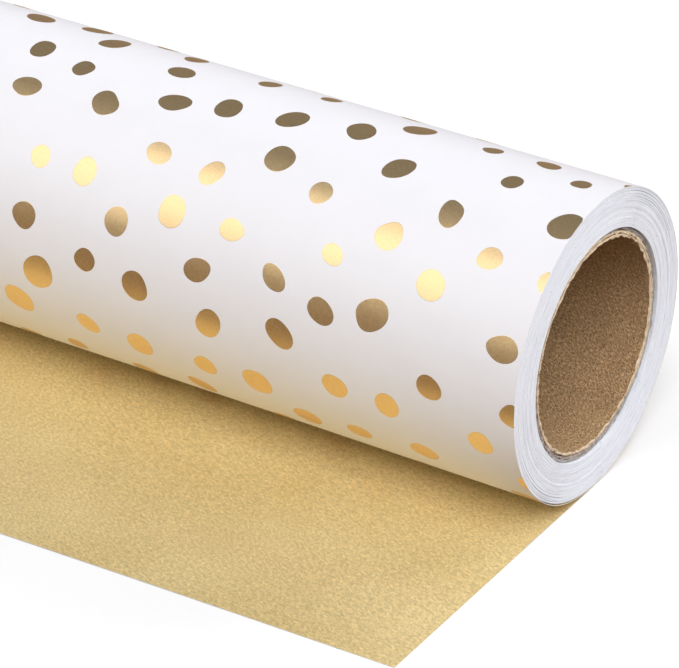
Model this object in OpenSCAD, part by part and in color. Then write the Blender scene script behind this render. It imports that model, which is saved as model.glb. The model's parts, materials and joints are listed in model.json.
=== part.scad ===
// A roll of gift wrapping paper with its free end laid out on the table.
// The paper is wound on a spiral-wound paperboard core. The roll's axis is X, the free
// end leaves the bottom of the roll towards -Y, and +Z is up. The origin is the centre
// of the core's bore, half way along the roll. All sizes are in millimetres.

/* [Paper web] */
// Width of the paper, which is the length of the roll
web_w = 762; // [150:1:1500]
// Thickness of the paper with its print and its foil back
paper_t = 0.10; // [0.06:0.01:0.30]

/* [Winding] */
// Whole turns wound on the core under the last, printed turn
turns = 66; // [4:1:160]
// Air held between one turn and the next
turn_gap = 0.009; // [0:0.001:0.05]

/* [Core] */
// Bore of the paperboard core
bore_d = 38.1; // [20:0.1:80]
// How far each end of the core lies inside the paper's edges
core_inset = 0.6; // [0:0.1:5]
// Thickness of the kraft ply that lines the bore
inner_ply_t = 0.60; // [0.2:0.05:1.5]
// Thickness of the ply between the other two
middle_ply_t = 0.60; // [0.2:0.05:3]
// Thickness of the ply that the paper is wound on
outer_ply_t = 0.60; // [0.2:0.05:1.5]

/* [Starting glue] */
// Beads of glue laid side by side along the core
bead_count = 3; // [1:1:6]
// Width of one bead, measured around the core
bead_w = 1.5; // [0.5:0.1:2]
// Distance from one bead's middle to the next, measured around the core
bead_pitch = 4; // [3:0.5:10]
// Thickness of the glue
glue_t = 0.05; // [0.03:0.01:0.15]
// Dry length left at each end of the core
glue_margin = 12; // [2:1:60]

/* [Laid-out end] */
// Length laid out at the +X end, from the contact line to the cut edge
sheet_len_right = 64.4; // [20:0.1:400]
// Length laid out at the -X end, where the hand-made cut runs long
sheet_len_left = 83.5; // [20:0.1:400]
// Angle that the paper was pulled out at, off square to the roll
askew = 0.8; // [-2:0.1:2]
// Width of the web pinched between the roll and the table
nip_w = 4; // [1:0.5:8]
// Running clearance between the last turn and the web under it
nip_gap = 0.03; // [0.01:0.01:0.10]

/* [Hidden] */
$fn = 180;

// The core is cut a little shorter than the web
core_len = web_w - 2 * core_inset;

// Radii, from the bore outwards
bore_r = bore_d / 2;
inner_ply_r = bore_r + inner_ply_t;
middle_ply_r = inner_ply_r + middle_ply_t;
core_r = middle_ply_r + outer_ply_t;
winding_start_r = core_r + glue_t;
wound_r = winding_start_r + turns * (paper_t + turn_gap);
roll_r = wound_r + paper_t;

// Heights of the laid-out web, which lies on the table
web_top_z = -(roll_r + nip_gap);
table_z = web_top_z - paper_t;

// The pinched strip reaches this far either side of the contact line
nip_half = nip_w / 2;

kraft = "#B98F63";
kraft_liner = "#A87D50";
glue_colour = "#EFE6C8";
paper_edge = "#E9EDF4";
printed_white = "#F8F6FA";
gold_back = "#D9BF7C";

// A straight tube along X, centred on the origin
module tube_x(length, inner_r, outer_r) {
    rotate([0, 90, 0])
        difference() {
            cylinder(h = length, r = outer_r, center = true);
            cylinder(h = length + 2, r = inner_r, center = true);
        }
}

// The ply that lines the bore, where a holder's rod runs
module core_inner_ply() {
    color(kraft_liner) tube_x(core_len, bore_r, inner_ply_r);
}

module core_middle_ply() {
    color(kraft) tube_x(core_len, inner_ply_r, middle_ply_r);
}

// The ply that the first turn of paper is stuck to
module core_outer_ply() {
    color(kraft) tube_x(core_len, middle_ply_r, core_r);
}

// The angle around the core that a length along its outside takes up
function core_angle(len) = len / core_r * 180 / PI;

// One bead of glue along the core, its middle at the given angle from the top
module glue_bead(angle) {
    bead_len = core_len - 2 * glue_margin;
    rotate([0, 90, 0])
        rotate([0, 0, 180 + angle - core_angle(bead_w) / 2])
            translate([0, 0, -bead_len / 2])
                rotate_extrude(angle = core_angle(bead_w))
                    translate([core_r, 0])
                        square([glue_t, bead_len]);
}

// The beads that hold the paper's first edge to the core
module start_glue_beads() {
    color(glue_colour)
        for (i = [0 : bead_count - 1])
            glue_bead(core_angle(bead_pitch) * (i - (bead_count - 1) / 2));
}

// All the turns under the last one, wound tight
module wound_paper() {
    color(paper_edge) tube_x(web_w, winding_start_r, wound_r);
}

// The last turn, with the printed side out
module outer_turn() {
    color(printed_white) tube_x(web_w, wound_r, roll_r);
}

// The web between the roll and the table, at the line where the roll touches down
module lead_out_strip() {
    color(gold_back)
        translate([-web_w / 2, -nip_half, table_z])
            cube([web_w, nip_w, paper_t]);
}

// How far a point this far from the contact line has moved towards -X
function pulled_aside(len) = (len - nip_half) * tan(askew);

// The free end of the web, gold side up, pulled out a little askew
module unrolled_sheet() {
    color(gold_back)
        translate([0, 0, table_z])
            linear_extrude(height = paper_t)
                polygon([
                    [-web_w / 2, -nip_half],
                    [-web_w / 2 - pulled_aside(sheet_len_left), -sheet_len_left],
                    [web_w / 2 - pulled_aside(sheet_len_right), -sheet_len_right],
                    [web_w / 2, -nip_half]
                ]);
}

core_inner_ply();
core_middle_ply();
core_outer_ply();
start_glue_beads();
wound_paper();
outer_turn();
lead_out_strip();
unrolled_sheet();
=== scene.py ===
import json
import math
import random

import bmesh
import bpy
import numpy as np
from mathutils import Matrix, Vector, noise


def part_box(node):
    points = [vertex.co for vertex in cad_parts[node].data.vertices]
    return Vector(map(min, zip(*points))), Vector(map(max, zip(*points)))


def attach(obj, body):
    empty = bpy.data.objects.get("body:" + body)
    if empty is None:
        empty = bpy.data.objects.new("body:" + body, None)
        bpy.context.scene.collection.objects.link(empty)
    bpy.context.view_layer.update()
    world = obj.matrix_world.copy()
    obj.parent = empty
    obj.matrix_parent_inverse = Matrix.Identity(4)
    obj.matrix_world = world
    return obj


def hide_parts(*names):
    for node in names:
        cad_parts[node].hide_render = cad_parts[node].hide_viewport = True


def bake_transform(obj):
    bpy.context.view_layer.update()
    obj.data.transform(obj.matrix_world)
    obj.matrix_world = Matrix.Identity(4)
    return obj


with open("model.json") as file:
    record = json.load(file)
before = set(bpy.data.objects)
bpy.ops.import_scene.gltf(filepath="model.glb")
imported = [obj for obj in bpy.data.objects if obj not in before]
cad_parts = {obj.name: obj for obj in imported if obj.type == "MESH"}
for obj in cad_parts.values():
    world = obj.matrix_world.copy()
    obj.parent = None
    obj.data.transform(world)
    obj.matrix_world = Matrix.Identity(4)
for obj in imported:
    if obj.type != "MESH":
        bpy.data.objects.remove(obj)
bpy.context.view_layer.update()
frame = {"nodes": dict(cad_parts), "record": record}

# ---------------------------------------------------------------- sizes, in metres
MM = 0.001
# Turns of the web, the last one among them
WEB_TURNS = 67


def node_points(name):
    """The corners of a CAD node's mesh, one row each."""
    return np.array([v.co for v in frame["nodes"][name].data.vertices])


def outer_radius(name):
    """How far a CAD node reaches from the roll's axis."""
    points = node_points(name)
    return float(np.hypot(points[:, 1], points[:, 2]).max())


STRIP_LOW, STRIP_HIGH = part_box("lead_out_strip")
PAPER_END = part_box("outer_turn")[1].x
CORE_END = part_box("core_inner_ply")[1].x
TABLE_Z = STRIP_LOW.z
PAPER_T = STRIP_HIGH.z - STRIP_LOW.z
BORE_R = next(m for m in frame["record"]["mounts"] if m["name"] == "core_bore")["dims"]["r_mm"] * MM
INNER_PLY_R = outer_radius("core_inner_ply")
MIDDLE_PLY_R = outer_radius("core_middle_ply")
CORE_R = outer_radius("core_outer_ply")
WINDING_R = outer_radius("start_glue_beads")
ROLL_R = outer_radius("outer_turn")
TURN_PITCH = (ROLL_R - PAPER_T - WINDING_R) / WEB_TURNS

# Angles around the roll run from +Y (the back) over +Z (the top) to -Y (the front)
BOTTOM = math.radians(270)
FULL_TURN = 2 * math.pi


# ---------------------------------------------------------------- mesh helpers
def grid_quads(rows, cols, closed=False, start=0, flip=False):
    """The quads of a grid of points stored row by row. closed joins the last column to the first."""
    row, col = np.meshgrid(np.arange(rows - 1), np.arange(cols if closed else cols - 1), indexing="ij")
    after = (col + 1) % cols
    quads = np.stack([row * cols + col, row * cols + after,
                      (row + 1) * cols + after, (row + 1) * cols + col], -1).reshape(-1, 4) + start
    return quads[:, ::-1] if flip else quads


def rim_quads(rows, cols, flip=False):
    """The quads that join the outlines of two such grids, where the second is stored after the first."""
    count = rows * cols
    row, col = np.arange(cols - 1), np.arange(rows - 1) * cols
    rims = []
    for k, step, turned in ((row, 1, flip), (row + count - cols, 1, not flip),
                            (col, cols, not flip), (col + cols - 1, cols, flip)):
        quad = np.stack([k, k + step, k + step + count, k + count], -1)
        rims.append(quad[:, ::-1] if turned else quad)
    return np.concatenate(rims)


def add_mesh(name, points, faces, materials, face_materials=None, sharp=None):
    """A smooth mesh. sharp marks the faces that keep hard edges, such as a cut edge.

    Where a sharp face meets a smooth one it gets its own copies of their points, because shared points
    would round the shading over the hard edge and across the whole quad beside it.
    """
    points = np.asarray(points, float)
    faces = [list(map(int, f)) for f in faces]
    if sharp is not None:
        on_smooth = {i for k in np.flatnonzero(~np.asarray(sharp, bool)) for i in faces[k]}
        copies = {}
        for k in np.flatnonzero(sharp):
            faces[k] = [copies.setdefault(i, len(points) + len(copies)) if i in on_smooth else i
                        for i in faces[k]]
        points = np.concatenate([points, points[list(copies)]])
    mesh = bpy.data.meshes.new(name)
    mesh.from_pydata(points.tolist(), [], faces)
    for material in materials:
        mesh.materials.append(material)
    if face_materials is not None:
        mesh.polygons.foreach_set("material_index", np.asarray(face_materials, np.int32))
    smooth = np.ones(len(mesh.polygons), bool) if sharp is None else ~np.asarray(sharp, bool)
    mesh.polygons.foreach_set("use_smooth", smooth)
    mesh.update()
    piece = bpy.data.objects.new(name, mesh)
    bpy.context.scene.collection.objects.link(piece)
    return piece


def around(x, angle, radius):
    """Points at these angles and radii about the roll's axis."""
    x, angle, radius = np.broadcast_arrays(x, angle, radius)
    return np.stack([x, radius * np.cos(angle), radius * np.sin(angle)], -1)


def smoothstep(value, low, high):
    t = np.clip((value - low) / (high - low), 0, 1)
    return t * t * (3 - 2 * t)


def angle_bump(angle, middle, half_width):
    """1 at the middle angle, falling smoothly to 0 at half_width either side of it."""
    away = np.abs((angle - middle + math.pi) % FULL_TURN - math.pi)
    return 1 - smoothstep(away, 0, half_width)


# ---------------------------------------------------------------- material helpers
class Nodes:
    """A small wrapper that adds and links shader nodes."""

    def __init__(self, name):
        self.material = bpy.data.materials.new(name)
        self.material.use_nodes = True
        self.tree = self.material.node_tree
        self.shader = self.tree.nodes["Principled BSDF"]

    def add(self, kind, **settings):
        node = self.tree.nodes.new(kind)
        for key, value in settings.items():
            setattr(node, key, value)
        return node

    def link(self, source, target):
        self.tree.links.new(source, target)

    def position(self, scale=(1, 1, 1)):
        """The point's place in the frame, in millimetres, stretched by scale."""
        coordinates = self.add("ShaderNodeTexCoord")
        mapping = self.add("ShaderNodeMapping")
        mapping.inputs["Scale"].default_value = [s / MM for s in scale]
        self.link(coordinates.outputs["Object"], mapping.inputs["Vector"])
        return mapping.outputs["Vector"]

    def unrolled(self):
        """The place on a round wall, in millimetres: along the axis, and around it at the bore's radius."""
        split = self.add("ShaderNodeSeparateXYZ")
        self.link(self.position(), split.inputs[0])
        angle = self.maths("ARCTAN2", split.outputs["Z"], split.outputs["Y"])
        flat = self.add("ShaderNodeCombineXYZ")
        self.link(split.outputs["X"], flat.inputs["X"])
        self.link(self.maths("MULTIPLY", angle, BORE_R / MM), flat.inputs["Y"])
        return flat.outputs[0]

    def slanted(self, vector, degrees, scale):
        """The same places, turned by an angle and then stretched."""
        turned = self.add("ShaderNodeMapping")
        turned.inputs["Rotation"].default_value = (0, 0, math.radians(degrees))
        self.link(vector, turned.inputs["Vector"])
        stretched = self.add("ShaderNodeMapping")
        stretched.inputs["Scale"].default_value = scale
        self.link(turned.outputs["Vector"], stretched.inputs["Vector"])
        return stretched.outputs["Vector"]

    def noise(self, vector, scale, detail=4.0, roughness=0.6):
        texture = self.add("ShaderNodeTexNoise")
        texture.inputs["Scale"].default_value = scale
        texture.inputs["Detail"].default_value = detail
        texture.inputs["Roughness"].default_value = roughness
        self.link(vector, texture.inputs["Vector"])
        return texture.outputs["Fac"]

    def ramp(self, value, stops):
        """A colour ramp. stops are (place, colour) pairs."""
        node = self.add("ShaderNodeValToRGB")
        elements = node.color_ramp.elements
        while len(elements) < len(stops):
            elements.new(0.5)
        for element, (place, colour) in zip(elements, stops):
            element.position = place
            element.color = (*colour, 1)
        self.link(value, node.inputs["Fac"])
        return node.outputs["Color"]

    def mix(self, factor, first, second, blend="MIX"):
        node = self.add("ShaderNodeMix", data_type="RGBA", blend_type=blend)
        for value, socket in ((factor, node.inputs[0]), (first, node.inputs[6]), (second, node.inputs[7])):
            if isinstance(value, bpy.types.NodeSocket):
                self.link(value, socket)
            elif isinstance(value, (int, float)):
                socket.default_value = value
            else:
                socket.default_value = (*value, 1)
        return node.outputs[2]

    def maths(self, operation, first, second=None):
        node = self.add("ShaderNodeMath", operation=operation)
        for value, socket in zip((first, second), node.inputs):
            if isinstance(value, bpy.types.NodeSocket):
                self.link(value, socket)
            elif value is not None:
                socket.default_value = value
        return node.outputs[0]

    def bump(self, *layers):
        """Bumps of (height, distance in metres, strength), one on top of another."""
        normal = None
        for height, distance, strength in layers:
            node = self.add("ShaderNodeBump")
            node.inputs["Strength"].default_value = strength
            node.inputs["Distance"].default_value = distance
            self.link(height, node.inputs["Height"])
            if normal is not None:
                self.link(normal, node.inputs["Normal"])
            normal = node.outputs["Normal"]
        self.link(normal, self.shader.inputs["Normal"])

    def finish(self, colour, **constants):
        """Sets the base colour and the shader's own constants."""
        if isinstance(colour, bpy.types.NodeSocket):
            self.link(colour, self.shader.inputs["Base Color"])
        else:
            self.shader.inputs["Base Color"].default_value = (*colour, 1)
        for key, value in constants.items():
            socket = self.shader.inputs[key.replace("_", " ")]
            if isinstance(value, bpy.types.NodeSocket):
                self.link(value, socket)
            else:
                socket.default_value = value
        return self.material


PAPER_WHITE = (0.875, 0.865, 0.897)
FOIL_GOLD = (0.93, 0.69, 0.38)


def white_paper():
    """Smooth satin paper with a faint mottle and a very fine tooth."""
    n = Nodes("printed_white_paper")
    place = n.position()
    mottle = n.noise(place, 0.12, 3.0)
    colour = n.ramp(mottle, [(0.35, (0.86, 0.85, 0.882)), (0.65, PAPER_WHITE)])
    tooth = n.noise(place, 6.0, 3.0)
    waves = n.noise(n.position((0.4, 1, 1)), 0.06, 2.0)
    n.bump((waves, 0.4 * MM, 0.3), (tooth, 0.01 * MM, 0.25))
    return n.finish(colour, Roughness=0.42, Specular_IOR_Level=0.35)


def foil(name, dark, light):
    """Hot-stamped foil: satin metal with a faint grain and fine scratches."""
    n = Nodes(name)
    place = n.position()
    grain = n.noise(place, 2.6, 5.0, 0.7)
    colour = n.ramp(grain, [(0.32, dark), (0.66, light)])
    scratches = n.noise(n.position((0.35, 3, 3)), 2.0, 3.0)
    rough = n.ramp(grain, [(0.3, (0.31,) * 3), (0.75, (0.41,) * 3)])
    n.bump((scratches, 0.02 * MM, 0.35), (grain, 0.03 * MM, 0.4))
    return n.finish(colour, Metallic=1.0, Roughness=rough)


def gold_paper():
    """The satin gold back: a fine crinkled grain with soft clouds."""
    n = Nodes("gold_back_paper")
    place = n.position()
    cloud = n.noise(n.position((0.7, 1, 1)), 0.05, 5.0, 0.6)
    crinkle = n.noise(n.slanted(place, 24, (0.8, 1.5, 1)), 1.5, 6.0, 0.75)
    grain = n.noise(place, 4.6, 4.0, 0.75)
    base = n.ramp(cloud, [(0.3, (0.90, 0.70, 0.33)), (0.7, (1.0, 0.81, 0.42))])
    tone = n.ramp(crinkle, [(0.34, (0.71, 0.70, 0.65)), (0.66, (1.12, 1.12, 1.14))])
    flecks = n.ramp(grain, [(0.33, (0.73,) * 3), (0.55, (1.0,) * 3), (0.72, (1.17,) * 3)])
    colour = n.mix(1.0, n.mix(1.0, base, tone, "MULTIPLY"), flecks, "MULTIPLY")
    rough = n.ramp(crinkle, [(0.3, (0.40,) * 3), (0.7, (0.52,) * 3)])
    n.bump((crinkle, 0.10 * MM, 0.6), (grain, 0.04 * MM, 0.5))
    return n.finish(colour, Metallic=0.42, Roughness=rough, Specular_IOR_Level=0.35)


def paper_edges():
    """The cut edges of the wound turns: cool white, with fine rings and a few dark specks."""
    n = Nodes("cut_paper_edges")
    place = n.position()
    split = n.add("ShaderNodeSeparateXYZ")
    n.link(place, split.inputs[0])
    radius = n.maths("SQRT", n.maths("ADD", n.maths("POWER", split.outputs["Y"], 2.0),
                                     n.maths("POWER", split.outputs["Z"], 2.0)))
    angle = n.maths("ARCTAN2", split.outputs["Z"], split.outputs["Y"])
    polar = n.add("ShaderNodeCombineXYZ")
    n.link(radius, polar.inputs["X"])
    n.link(n.maths("MULTIPLY", angle, 0.8), polar.inputs["Y"])
    rings = n.noise(polar.outputs[0], 2.2, 5.0, 0.7)
    fine = n.noise(polar.outputs[0], 7.0, 3.0, 0.6)
    base = n.ramp(rings, [(0.30, (0.78, 0.81, 0.885)), (0.55, (0.88, 0.905, 0.97)),
                          (0.75, (0.93, 0.95, 0.99))])
    lines = n.ramp(fine, [(0.30, (0.80,) * 3), (0.52, (1.0,) * 3)])
    colour = n.mix(0.8, base, lines, "MULTIPLY")
    specks = n.ramp(n.noise(place, 3.2, 2.0), [(0.285, (0.30, 0.31, 0.33)), (0.325, (1.0, 1.0, 1.0))])
    colour = n.mix(1.0, colour, specks, "MULTIPLY")
    n.bump((fine, 0.03 * MM, 0.5))
    return n.finish(colour, Roughness=0.75, Specular_IOR_Level=0.2)


def kraft_wall():
    """The bore's lining: unbleached kraft, with short fibres that cross on two slants."""
    n = Nodes("kraft_liner")
    wall = n.unrolled()
    rising = n.noise(n.slanted(wall, 38, (0.6, 2.1, 1)), 2.3, 5.0, 0.8)
    falling = n.noise(n.slanted(wall, -46, (0.6, 2.1, 1)), 2.7, 5.0, 0.8)
    speckle = n.noise(wall, 3.4, 3.0, 0.7)
    crossed = n.maths("ADD", n.maths("MULTIPLY", rising, 0.52), n.maths("MULTIPLY", falling, 0.28))
    fibres = n.maths("ADD", crossed, n.maths("MULTIPLY", speckle, 0.20))
    clouds = n.noise(n.position(), 0.16, 3.0)
    base = n.ramp(fibres, [(0.42, (0.14, 0.08, 0.033)), (0.50, (0.44, 0.275, 0.135)),
                           (0.58, (0.92, 0.63, 0.36))])
    shade = n.ramp(clouds, [(0.3, (0.88,) * 3), (0.7, (1.08,) * 3)])
    colour = n.mix(1.0, base, shade, "MULTIPLY")
    n.bump((fibres, 0.45 * MM, 0.9))
    return n.finish(colour, Roughness=0.9, Specular_IOR_Level=0.15)


def cut_board(name, tones, other=None):
    """The cut end of a ply: torn fibres in three tones, with small dark spots between them, painted shade in
    pits.

    other holds the tones towards the front and the bottom, where they differ.
    """
    n = Nodes(name)
    place = n.position()
    fibres = n.noise(place, 1.6, 6.0, 0.75)
    places = (0.32, 0.50, 0.70)
    base = n.ramp(fibres, list(zip(places, tones)))
    if other:
        split = n.add("ShaderNodeSeparateXYZ")
        n.link(place, split.inputs[0])
        slope = n.maths("ADD", split.outputs["Y"], n.maths("MULTIPLY", split.outputs["Z"], 0.9))
        slope = n.maths("ADD", slope, n.maths("MULTIPLY", n.noise(place, 0.3, 2.0), 8.0))
        bright_side = n.maths("MULTIPLY", n.maths("ADD", slope, 4.0), 1 / 14.0)
        bright_side = n.maths("MINIMUM", n.maths("MAXIMUM", bright_side, 0.0), 1.0)
        base = n.mix(bright_side, n.ramp(fibres, list(zip(places, other))), base)
    # Small dark spots: painted shade in pits between the fibres, which the mesh doesn't have
    pit_shade = n.ramp(n.noise(place, 1.1, 3.0), [(0.30, (0.30,) * 3), (0.39, (1.0,) * 3)])
    n.bump((fibres, 0.25 * MM, 0.9))
    return n.finish(n.mix(1.0, base, pit_shade, "MULTIPLY"), Roughness=0.92, Specular_IOR_Level=0.15)


CREAM = ((0.48, 0.36, 0.23), (0.77, 0.61, 0.43), (0.93, 0.80, 0.61))
MAUVE = ((0.27, 0.21, 0.18), (0.44, 0.36, 0.32), (0.62, 0.53, 0.47))
GREY = ((0.25, 0.23, 0.21), (0.41, 0.38, 0.36), (0.58, 0.55, 0.52))


def glue():
    n = Nodes("dried_glue")
    cloud = n.noise(n.position(), 0.8, 4.0)
    colour = n.ramp(cloud, [(0.3, (0.70, 0.63, 0.47)), (0.7, (0.84, 0.79, 0.64))])
    n.bump((cloud, 0.02 * MM, 0.4))
    return n.finish(colour, Roughness=0.35)


def dotted_underside():
    """The printed side where it faces the table: white paper with foil dots in the print.

    The dots come out fewer and less even here than the ones on the roll.
    """
    n = Nodes("dotted_underside")
    cells = n.add("ShaderNodeTexVoronoi", feature="F1")
    cells.inputs["Scale"].default_value = 1 / 12.0
    cells.inputs["Randomness"].default_value = 0.75
    n.link(n.position((1, 1, 0)), cells.inputs["Vector"])
    wobble = n.noise(n.position(), 0.25, 1.0)
    edge = n.maths("ADD", cells.outputs["Distance"], n.maths("MULTIPLY", wobble, 0.06))
    dot = n.maths("LESS_THAN", edge, 0.235)
    tooth = n.noise(n.position(), 6.0, 3.0)
    paper = n.ramp(tooth, [(0.3, (0.90, 0.895, 0.915)), (0.7, PAPER_WHITE)])
    colour = n.mix(dot, paper, FOIL_GOLD)
    rough = n.mix(dot, (0.42,) * 3, (0.30,) * 3)
    n.bump((tooth, 0.01 * MM, 0.25))
    return n.finish(colour, Metallic=dot, Roughness=rough)


MATERIALS = {
    "white": white_paper(),
    "foil": foil("gold_foil", (0.80, 0.575, 0.30), FOIL_GOLD),
    # A darker copy of the foil for the dots' rims: painted shade along each dot's edge
    "painted_rim_shade": foil("gold_foil_painted_rim_shade", (0.70, 0.50, 0.26), (0.82, 0.60, 0.33)),
    "gold": gold_paper(),
    "edges": paper_edges(),
    "underside": dotted_underside(),
    "liner": kraft_wall(),
    "cream_board": cut_board("cream_board", CREAM),
    "mauve_board": cut_board("mauve_board", CREAM, MAUVE),
    "grey_board": cut_board("grey_board", GREY),
    "glue": glue(),
}


# ---------------------------------------------------------------- the wound paper
# Loose places in the winding: (turn that the slack lies under, middle angle, half width, gap in mm)
SLACK = [
    (9, 120, 70, 0.03), (17, 330, 60, 0.04), (24, 215, 50, 0.04), (33, 60, 80, 0.06), (41, 190, 55, 0.05),
    (45, 35, 60, 0.08), (48, 30, 50, 0.07), (52, 40, 55, 0.11), (53, 215, 50, 0.08), (56, 45, 45, 0.08),
    (57, 225, 40, 0.13), (60, 60, 60, 0.12), (61, 210, 45, 0.12), (63, 235, 40, 0.11), (64, 50, 60, 0.08),
]
# At the -X end the same slack lies this many degrees further around
SLACK_SHIFT = 137
# The slack dies out over this angle, in radians, on each side of the bottom, where each turn is counted from
SLACK_FADE = 0.25


def web_inner_radius(turn, angle, end):
    """The inside radius of the web. turn is the whole turns from the core, as an array like angle."""
    travelled = (BOTTOM - angle) / FULL_TURN
    from_bottom = np.abs((angle - BOTTOM + math.pi) % FULL_TURN - math.pi)
    radius = (turn + travelled) * TURN_PITCH
    total = WEB_TURNS * TURN_PITCH
    for under, middle, half_width, gap in SLACK:
        middle = middle if end > 0 else middle + SLACK_SHIFT
        opening = gap * MM * angle_bump(angle, math.radians(middle), math.radians(half_width))
        opening = opening * smoothstep(from_bottom, 0, SLACK_FADE)
        radius = radius + np.where(turn >= under, opening, 0)
        total = total + opening
    return WINDING_R + radius * WEB_TURNS * TURN_PITCH / total


def edge_offsets(rng):
    """How far each turn's edge stands in or out of the roll's end, one value a turn."""
    kept, spread_mm = 0.75, 0.016
    offsets, place = [], 0.0
    for _ in range(WEB_TURNS + 1):
        place = kept * place + rng.gauss(0, spread_mm)
        offsets.append(place * MM)
    return np.array(offsets)


# Points of the spiral in one turn
STEPS = 216
# How far the paper's edges lie inside the roll's end
EDGE_INSET = 0.06 * MM
# A paper edge from its inside out, as (depth behind the edge, distance out from the turn's inside):
# the bottom of the groove, then the cut face with both of its corners just broken
EDGE_PROFILE = [(0.45 * MM, -0.012 * MM), (0.003 * MM, 0), (0, PAPER_T * 0.42), (0.004 * MM, PAPER_T * 0.93)]


def layered_end(end, seed):
    """The spiral of paper edges on one end of the roll, with a groove between each two turns."""
    rng = random.Random(seed)
    offsets = edge_offsets(rng)
    turns = WEB_TURNS - 1
    count = turns * STEPS + 1
    index = np.arange(count)
    turn = np.minimum(index // STEPS, turns - 1)
    travelled = (index - turn * STEPS) / STEPS
    angle = BOTTOM - travelled * FULL_TURN
    inner = web_inner_radius(turn, angle, end)
    along = turn + travelled
    out = np.interp(along, np.arange(WEB_TURNS + 1), offsets)
    ripple = np.array([noise.noise(Vector((math.cos(a) * 1.5, math.sin(a) * 1.5, t * 0.35 + seed)))
                       for a, t in zip(angle, along)])
    edge = end * (PAPER_END - EDGE_INSET + out + ripple * 0.03 * MM)
    points = np.stack([around(edge - end * depth, angle, inner + rise) for depth, rise in EDGE_PROFILE],
                      1).reshape(-1, 3)
    wide = len(EDGE_PROFILE)
    here = np.arange(count - 1) * wide
    quads = [np.stack([here + i, here + i + 1, here + i + 1 + wide, here + i + wide], -1)
             for i in range(wide - 1)]
    under = np.arange(count - 1 - STEPS) * wide
    over = under + STEPS * wide
    quads.append(np.stack([under + wide - 1, over, over + wide, under + 2 * wide - 1], -1))
    faces = np.concatenate(quads)
    return points, faces if end < 0 else faces[:, ::-1]


def build_winding():
    """Both layered ends and the body of the winding between them, as one piece."""
    points, faces = [], []
    start = 0
    for end, seed in ((1, 11), (-1, 29)):
        p, f = layered_end(end, seed)
        points.append(p)
        faces.append(f + start)
        start += len(p)
    end_faces = sum(map(len, faces))
    angles = np.linspace(0, FULL_TURN, 180, endpoint=False)
    body_end = PAPER_END - 0.2 * MM
    stations = np.linspace(-body_end, body_end, 60)
    outside, inside = ROLL_R - 2.2 * PAPER_T, WINDING_R + 0.02 * MM
    for radius, inward in ((outside, False), (inside, True)):
        p = around(stations[:, None], angles[None, :], radius).reshape(-1, 3)
        points.append(p)
        faces.append(grid_quads(len(stations), len(angles), True, start, inward))
        start += len(p)
    faces = np.concatenate(faces)
    return add_mesh("wound_paper_layers", np.concatenate(points), faces, [MATERIALS["edges"]],
                    sharp=np.arange(len(faces)) < end_faces)


# The last turn stands off the winding about this angle, over this far on each side
LIFT_ANGLE = math.radians(243)
LIFT_HALF = math.radians(26)


def last_turn_radius(x, angle):
    """The inside radius of the last turn, which stands a little off the winding near each end."""
    steady = WINDING_R + (WEB_TURNS - 1 + (BOTTOM - angle) / FULL_TURN) * TURN_PITCH
    near_end = smoothstep(x, PAPER_END - 70 * MM, PAPER_END)
    far_end = smoothstep(-x, PAPER_END - 50 * MM, PAPER_END)
    lift = angle_bump(angle, LIFT_ANGLE, LIFT_HALF) * (0.26 * near_end + 0.16 * far_end) * MM
    return steady + lift


def build_last_turn():
    """The last turn of the web, printed side out: a thin shell that follows the spiral."""
    angle = BOTTOM - np.linspace(0, 1, 289) * FULL_TURN
    fine_left, fine_right = -PAPER_END + 60 * MM, PAPER_END - 80 * MM
    x = np.concatenate([np.linspace(-PAPER_END, fine_left, 16)[:-1],
                        np.linspace(fine_left, fine_right, 80)[:-1],
                        np.linspace(fine_right, PAPER_END, 24)])
    grid_x, grid_angle = np.meshgrid(x, angle, indexing="ij")
    inner = last_turn_radius(grid_x, grid_angle)
    rows, cols = grid_x.shape
    outside = around(grid_x, grid_angle, inner + PAPER_T).reshape(-1, 3)
    inside = around(grid_x, grid_angle, inner).reshape(-1, 3)
    points = np.concatenate([outside, inside])
    skin = grid_quads(rows, cols, flip=True)
    lining = grid_quads(rows, cols, start=rows * cols)
    rims = rim_quads(rows, cols)
    faces = np.concatenate([skin, lining, rims])
    which = np.repeat([0, 1, 2], [len(skin), len(lining), len(rims)])
    return add_mesh("last_turn", points, faces, [MATERIALS["white"], MATERIALS["gold"], MATERIALS["edges"]],
                    which, which == 2)


# ---------------------------------------------------------------- the foil dots
DOT_SPACING = 9.6 * MM
DOT_RADIUS = 2.45 * MM
# Points around a dot's outline
DOT_SPOKES = 28
# Places tried at random, far more than there is room for
DOT_TRIES = 60000


def scatter_dots(seed):
    """Places for the dots on the flat web, about a spacing or more apart, joining up around the roll."""
    rng = random.Random(seed)
    girth = FULL_TURN * ROLL_R
    cell = DOT_SPACING
    taken = {}
    places = []
    for _ in range(DOT_TRIES):
        x, s = rng.uniform(-PAPER_END - 2 * MM, PAPER_END + 2 * MM), rng.uniform(0, girth)
        key = (math.floor(x / cell), math.floor(s / cell))
        columns = math.floor(girth / cell) + 1
        near = [p for i in (-1, 0, 1) for j in (-2, -1, 0, 1, 2)
                for p in taken.get((key[0] + i, (key[1] + j) % columns), [])]
        reach = DOT_SPACING * rng.uniform(0.92, 1.12)
        if all(math.hypot(x - px, (s - ps + girth / 2) % girth - girth / 2) > reach for px, ps in near):
            taken.setdefault(key, []).append((x, s))
            places.append((x, s))
    return places


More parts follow.
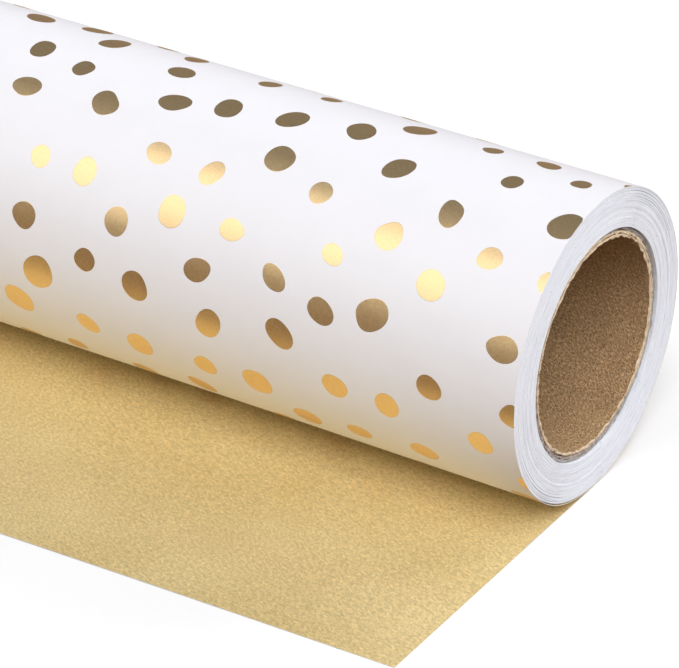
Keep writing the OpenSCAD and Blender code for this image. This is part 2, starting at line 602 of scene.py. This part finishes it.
def dot_outline(rng):
    """A hand-drawn round: an ellipse with a soft wobble, as (x, s) offsets around it."""
    size = DOT_RADIUS * min(max(rng.gauss(1.0, 0.13), 0.72), 1.38)
    stretch = rng.uniform(0.86, 1.17)
    tilt = rng.uniform(0, math.pi)
    wobble = [(k, rng.uniform(0, 0.06) / (k - 1) ** 0.7, rng.uniform(0, FULL_TURN)) for k in (2, 3, 4)]
    turn = np.linspace(0, FULL_TURN, DOT_SPOKES, endpoint=False)
    radius = size * (1 + sum(a * np.cos(k * turn + p) for k, a, p in wobble))
    u, v = radius * np.cos(turn) * stretch, radius * np.sin(turn) / stretch
    return u * math.cos(tilt) - v * math.sin(tilt), u * math.sin(tilt) + v * math.cos(tilt)


# A dot's rings from its middle out, as (share of its outline, height over the paper): a flat top,
# a narrow rim in a darker foil, painted shade at the dot's edge, and a skirt that goes just into the paper
DOT_RINGS = [(0.5, 0.012 * MM), (0.97, 0.012 * MM), (1.0, 0.004 * MM), (1.0, -0.004 * MM)]


def trimmed(x, s, u, v, limit):
    """A dot's middle and outline where the paper's end cuts through it, or None where too little is left."""
    least_left, middle_inside = 0.6 * MM, 0.3 * MM
    side = 1 if x > 0 else -1
    lowest = np.argmin(side * (x + u))
    nearest = side * (x + u[lowest])
    if nearest > limit - least_left:
        return None
    if side * x > limit - middle_inside:
        middle_x, middle_s = side * (nearest + limit) / 2, s + v[lowest]
        u, v, x, s = x + u - middle_x, s + v - middle_s, middle_x, middle_s
    room = limit - side * x
    keep = np.minimum(1, room / np.maximum(side * u, room))
    return x, s, u * keep, v * keep


def build_dots(seed):
    rng = random.Random(seed)
    points, faces, kinds = [], [], []
    start = 0
    for x, s in scatter_dots(seed):
        dot = trimmed(x, s, *dot_outline(rng), PAPER_END - 0.02 * MM)
        if dot is None:
            continue
        x, s, u, v = dot
        xs = np.concatenate([[x]] + [x + share * u for share, _ in DOT_RINGS])
        ss = np.concatenate([[s]] + [s + share * v for share, _ in DOT_RINGS])
        lifts = np.concatenate([[DOT_RINGS[0][1]]] + [np.full(DOT_SPOKES, height) for _, height in DOT_RINGS])
        angle = ss / ROLL_R
        wrapped = BOTTOM - (BOTTOM - angle) % FULL_TURN
        points.append(around(xs, angle, last_turn_radius(xs, wrapped) + PAPER_T + lifts))
        for k in range(DOT_SPOKES):
            after = (k + 1) % DOT_SPOKES
            faces.append([start, start + 1 + after, start + 1 + k])
            kinds.append(0)
            for ring in range(len(DOT_RINGS) - 1):
                a, b = start + 1 + ring * DOT_SPOKES, start + 1 + (ring + 1) * DOT_SPOKES
                faces.append([a + k, a + after, b + after, b + k])
                kinds.append(min(ring, 1))
        start += len(points[-1])
    kinds = np.array(kinds)
    # The rims and skirts take the darker foil, painted shade along each dot's edge
    piece = add_mesh("foil_dots", np.concatenate(points), faces, [MATERIALS["foil"], MATERIALS["painted_rim_shade"]],
                     kinds, kinds > 0)
    drop_slivers(piece)
    return piece


def drop_slivers(piece):
    """Takes out the faces that clipping at the paper's edge left with no area."""
    bm = bmesh.new()
    bm.from_mesh(piece.data)
    bmesh.ops.dissolve_degenerate(bm, dist=0.001 * MM, edges=bm.edges)
    bm.to_mesh(piece.data)
    bm.free()


# ---------------------------------------------------------------- the core
# The plies' seam goes once around the core in this length
SEAM_LEAD = 165 * MM
# Points around a ply, apart from the seam's two
CORE_COLS = 240


def ply_noise(x, angle, seed, scale):
    """Smooth noise over a round wall, which joins up around the axis. A larger scale is finer."""
    along = x * scale / BORE_R + seed
    return np.array([noise.noise(Vector((math.cos(a) * scale, math.sin(a) * scale, t)))
                     for t, a in zip(along.ravel(), angle.ravel())]).reshape(x.shape)


def build_ply(name, inner_r, outer_r, wall, cut, seed, roughness):
    """One ply of the core: a tube with a spiral seam and torn cut ends.

    roughness scales the seam and the fuzz of the wall inside, and is 0 on a ply glued to the next one.
    """
    stations = np.concatenate([
        np.linspace(-CORE_END, -CORE_END + 1.5 * MM, 5)[:-1],
        np.linspace(-CORE_END + 1.5 * MM, CORE_END - 1.5 * MM, 260),
        np.linspace(CORE_END - 1.5 * MM, CORE_END, 5)[1:]])
    seam_half = 0.18 * MM / inner_r
    spread = np.linspace(seam_half * 3, FULL_TURN - seam_half * 3, CORE_COLS)
    columns = np.concatenate([[-seam_half, seam_half], spread])
    grid_x, column = np.meshgrid(stations, columns, indexing="ij")
    angle = column + grid_x / SEAM_LEAD * FULL_TURN + seed
    in_seam = np.abs(column) < seam_half * 1.5
    to_end = CORE_END - np.abs(grid_x)
    near_end = 1 - smoothstep(to_end, 0, 1.2 * MM)
    fuzz = ply_noise(grid_x, angle, seed, 14) * 0.05 * MM
    nibbled = near_end * (0.06 + 0.42 * ply_noise(grid_x, angle, seed + 5, 14)) * MM
    inside = inner_r + (fuzz + np.where(in_seam, 0.14 * MM, 0)) * roughness + nibbled
    outside = outer_r - near_end * (0.05 + 0.10 * ply_noise(grid_x, angle, seed + 7, 11)) * MM - 0.004 * MM
    at_end = to_end < 0.01 * MM
    torn_in = np.where(at_end, ply_noise(grid_x, angle, seed + 9, 16) * 0.16 * MM, 0)
    torn_out = np.where(at_end, ply_noise(grid_x, angle, seed + 13, 16) * 0.14 * MM, 0)
    rows, cols = grid_x.shape
    count = rows * cols
    points = [around(grid_x + np.sign(grid_x) * torn_in, angle, inside).reshape(-1, 3),
              around(grid_x + np.sign(grid_x) * torn_out, angle, outside).reshape(-1, 3)]
    faces = [grid_quads(rows, cols, True), grid_quads(rows, cols, True, count, True)]
    walls = sum(map(len, faces))
    start = 2 * count
    k = np.arange(cols)
    after = (k + 1) % cols
    for row, flip in ((0, True), (rows - 1, False)):
        sign = np.sign(stations[row])
        previous = row * cols
        for share in (0.3, 0.7):
            radius = inside[row] * (1 - share) + outside[row] * share
            lump = ply_noise(np.full(cols, stations[row]), angle[row], seed + 20 * share, 18) * 0.28 * MM
            points.append(around(stations[row] + sign * (lump + 0.04 * MM), angle[row], radius))
            quad = np.stack([previous + k, previous + after, start + after, start + k], -1)
            faces.append(quad[:, ::-1] if flip else quad)
            previous = start
            start += cols
        outer = count + row * cols
        quad = np.stack([previous + k, previous + after, outer + after, outer + k], -1)
        faces.append(quad[:, ::-1] if flip else quad)
    faces = np.concatenate(faces)
    is_cut = np.arange(len(faces)) >= walls
    return add_mesh(name, np.concatenate(points), faces, [MATERIALS[wall], MATERIALS[cut]], is_cut, is_cut)


# ---------------------------------------------------------------- the laid-out sheet
# The CAD sheet's two front corners, which set how far it reaches and how far askew it was pulled
SHEET_FRONT = [p for p in node_points("unrolled_sheet") if p[1] < STRIP_LOW.y - 1 * MM]
RIGHT_CORNER = Vector(max(SHEET_FRONT, key=lambda p: p[0]))
LEFT_CORNER = Vector(min(SHEET_FRONT, key=lambda p: p[0]))


def sheet_height(x, y, to_front):
    """How far the sheet stands off the table: soft waves, flat under the roll and low at the cut edge."""
    flat = np.stack([np.ravel(x), np.ravel(y)], -1)
    long_wave = np.array([noise.noise(Vector((a * 16, b * 22, 5.2))) for a, b in flat])
    short_wave = np.array([noise.noise(Vector((a * 45, b * 60, 9.4))) for a, b in flat])
    height = np.maximum(0, 0.14 + 0.55 * long_wave + 0.25 * short_wave).reshape(np.shape(x)) * MM
    return height * smoothstep(-y, 6 * MM, 30 * MM) * (0.25 + 0.75 * smoothstep(to_front, 0, 14 * MM))


def build_sheet():
    """The free end of the web. across runs from its -X edge to its +X edge, share from back to front."""
    fine_from = 0.81
    across = np.concatenate([np.linspace(0, fine_from, 190)[:-1], np.linspace(fine_from, 1, 84)])
    share = np.linspace(0, 1, 46)
    u, v = np.meshgrid(across, share, indexing="ij")
    back = STRIP_HIGH.y
    wander = np.array([noise.noise(Vector((px * 10, 3.1, 0.7))) for px in across])[:, None] * 0.3 * MM
    front_x = LEFT_CORNER.x + u * (RIGHT_CORNER.x - LEFT_CORNER.x)
    front_y = LEFT_CORNER.y + u * (RIGHT_CORNER.y - LEFT_CORNER.y) + np.abs(wander)
    back_x = (2 * u - 1) * PAPER_END
    grid_x = back_x + v * (front_x - back_x)
    grid_y = back + v * (front_y - back)
    lift = sheet_height(grid_x, grid_y, grid_y - front_y)
    rows, cols = grid_x.shape
    under = np.stack([grid_x, grid_y, TABLE_Z + lift], -1).reshape(-1, 3)
    over = under + [0, 0, PAPER_T]
    top = grid_quads(rows, cols, start=rows * cols, flip=True)
    bottom = grid_quads(rows, cols)
    rims = rim_quads(rows, cols, flip=True)
    faces = np.concatenate([top, bottom, rims])
    which = np.repeat([0, 1, 2], [len(top), len(bottom), len(rims)])
    return add_mesh("gold_sheet", np.concatenate([under, over]), faces,
                    [MATERIALS["gold"], MATERIALS["underside"], MATERIALS["edges"]], which, which == 2)


# ---------------------------------------------------------------- stage, light and camera
def build_floor():
    """A plain pale table. It neither lights the object nor shows in the foil and the gold."""
    size, below = 12.0, 0.02 * MM
    bpy.ops.mesh.primitive_plane_add(size=size, location=(0, 0, TABLE_Z - below))
    floor = bpy.context.object
    floor.name = "table_top"
    n = Nodes("pale_table")
    cloud = n.noise(n.position(), 0.02, 2.0)
    colour = n.ramp(cloud, [(0.3, (0.965,) * 3), (0.7, (0.975,) * 3)])
    floor.data.materials.append(n.finish(colour, Roughness=0.9, Specular_IOR_Level=0.0))
    floor.visible_glossy = False
    floor.visible_diffuse = False
    return floor


def add_sun(name, towards, strength, spread, colour, mirrored=True):
    """A soft light far away. towards is the direction from the object to the light.

    A light that isn't mirrored has no reflection. From low at the far end its glare would hide the dots.
    """
    data = bpy.data.lights.new(name, "SUN")
    data.energy = strength
    data.angle = math.radians(spread)
    data.color = colour
    lamp = bpy.data.objects.new(name, data)
    lamp.rotation_euler = Vector(towards).to_track_quat("Z", "Y").to_euler()
    lamp.visible_glossy = mirrored
    bpy.context.scene.collection.objects.link(lamp)


def build_world():
    """A soft room, warm and dim below and neutral above, with plain white where the camera sees it."""
    world = bpy.data.worlds.new("studio")
    bpy.context.scene.world = world
    world.use_nodes = True
    tree = world.node_tree
    background = tree.nodes["Background"]
    direction = tree.nodes.new("ShaderNodeTexCoord")
    split = tree.nodes.new("ShaderNodeSeparateXYZ")
    shift = tree.nodes.new("ShaderNodeMath")
    shift.operation = "MULTIPLY_ADD"
    shift.inputs[1].default_value = 0.5
    shift.inputs[2].default_value = 0.5
    ramp = tree.nodes.new("ShaderNodeValToRGB")
    stops = [(0.0, (0.20, 0.13, 0.085)), (0.30, (0.25, 0.17, 0.115)), (0.47, (0.285, 0.22, 0.165)),
             (0.58, (0.24, 0.215, 0.195)), (0.8, (0.215, 0.22, 0.235))]
    for _ in stops[2:]:
        ramp.color_ramp.elements.new(0.5)
    for element, (place, colour) in zip(ramp.color_ramp.elements, stops):
        element.position = place
        element.color = (*colour, 1)
    seen = tree.nodes.new("ShaderNodeLightPath")
    mix = tree.nodes.new("ShaderNodeMix")
    mix.data_type = "RGBA"
    mix.inputs[7].default_value = (1, 1, 1, 1)
    tree.links.new(direction.outputs["Generated"], split.inputs[0])
    tree.links.new(split.outputs["Z"], shift.inputs[0])
    tree.links.new(shift.outputs[0], ramp.inputs["Fac"])
    tree.links.new(seen.outputs["Is Camera Ray"], mix.inputs[0])
    tree.links.new(ramp.outputs["Color"], mix.inputs[6])
    tree.links.new(mix.outputs[2], background.inputs["Color"])


def add_camera():
    """The photograph's view of the near end: from the front right and above, with a long lens."""
    azimuth, elevation, roll = (math.radians(v) for v in (32.805, 31.070, -0.672))
    distance = 26.0 * ROLL_R
    aim = Vector((PAPER_END - 1.216 * ROLL_R, -0.989 * ROLL_R, 0.210 * ROLL_R))
    back = Vector((math.sin(azimuth) * math.cos(elevation), -math.cos(azimuth) * math.cos(elevation),
                   math.sin(elevation)))
    right = Vector((0, 0, 1)).cross(back).normalized()
    up = back.cross(right)
    turned_right = math.cos(roll) * right + math.sin(roll) * up
    turned_up = -math.sin(roll) * right + math.cos(roll) * up
    camera = bpy.data.objects.new("camera", bpy.data.cameras.new("camera"))
    camera.data.sensor_width = 36
    camera.data.lens = 230.85
    camera.data.clip_end = 50
    camera.matrix_world = Matrix((
        (turned_right.x, turned_up.x, back.x, aim.x + distance * back.x),
        (turned_right.y, turned_up.y, back.y, aim.y + distance * back.y),
        (turned_right.z, turned_up.z, back.z, aim.z + distance * back.z),
        (0, 0, 0, 1)))
    bpy.context.scene.collection.objects.link(camera)
    bpy.context.scene.camera = camera


add_camera()
build_world()
table_top = build_floor()
add_sun("front_softbox", (-0.464, -0.564, 0.682), 0.90, 50, (1.0, 0.99, 0.97))
add_sun("right_softbox", (0.40, -0.45, 0.80), 1.60, 34, (0.99, 0.99, 1.0))
add_sun("back_softbox", (0.35, 0.85, 0.39), 1.62, 40, (0.98, 0.99, 1.0))
add_sun("end_softbox", (0.92, -0.12, 0.38), 1.20, 50, (0.94, 0.97, 1.0), mirrored=False)
bpy.context.scene.view_settings.view_transform = "Standard"

# ---------------------------------------------------------------- the pieces
winding = build_winding()
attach(winding, "roll")
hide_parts("wound_paper")

last_turn = build_last_turn()
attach(last_turn, "roll")
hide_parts("outer_turn")

dots = build_dots(7)
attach(dots, "roll")

# (piece, the CAD node it stands for, inside and outside radius, wall, cut end, slot, seed, roughness)
PLIES = (
    ("core_liner", "core_inner_ply", BORE_R, INNER_PLY_R, "liner", "cream_board", "kraft_liner", 1.3, 1.0),
    ("core_board", "core_middle_ply", INNER_PLY_R, MIDDLE_PLY_R, "mauve_board", "mauve_board",
     "kraft_board", 3.6, 0.0),
    ("core_skin", "core_outer_ply", MIDDLE_PLY_R, CORE_R, "grey_board", "grey_board",
     "kraft_board", 5.1, 0.0),
)
for name, node, inner, outer, wall, cut, slot_name, seed, roughness in PLIES:
    ply = build_ply(name, inner, outer, wall, cut, seed, roughness)
    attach(ply, "roll")
    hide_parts(node)

beads = frame["nodes"]["start_glue_beads"]
beads.data.materials.clear()
beads.data.materials.append(MATERIALS["glue"])

sheet = build_sheet()
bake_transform(sheet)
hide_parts("unrolled_sheet", "lead_out_strip")
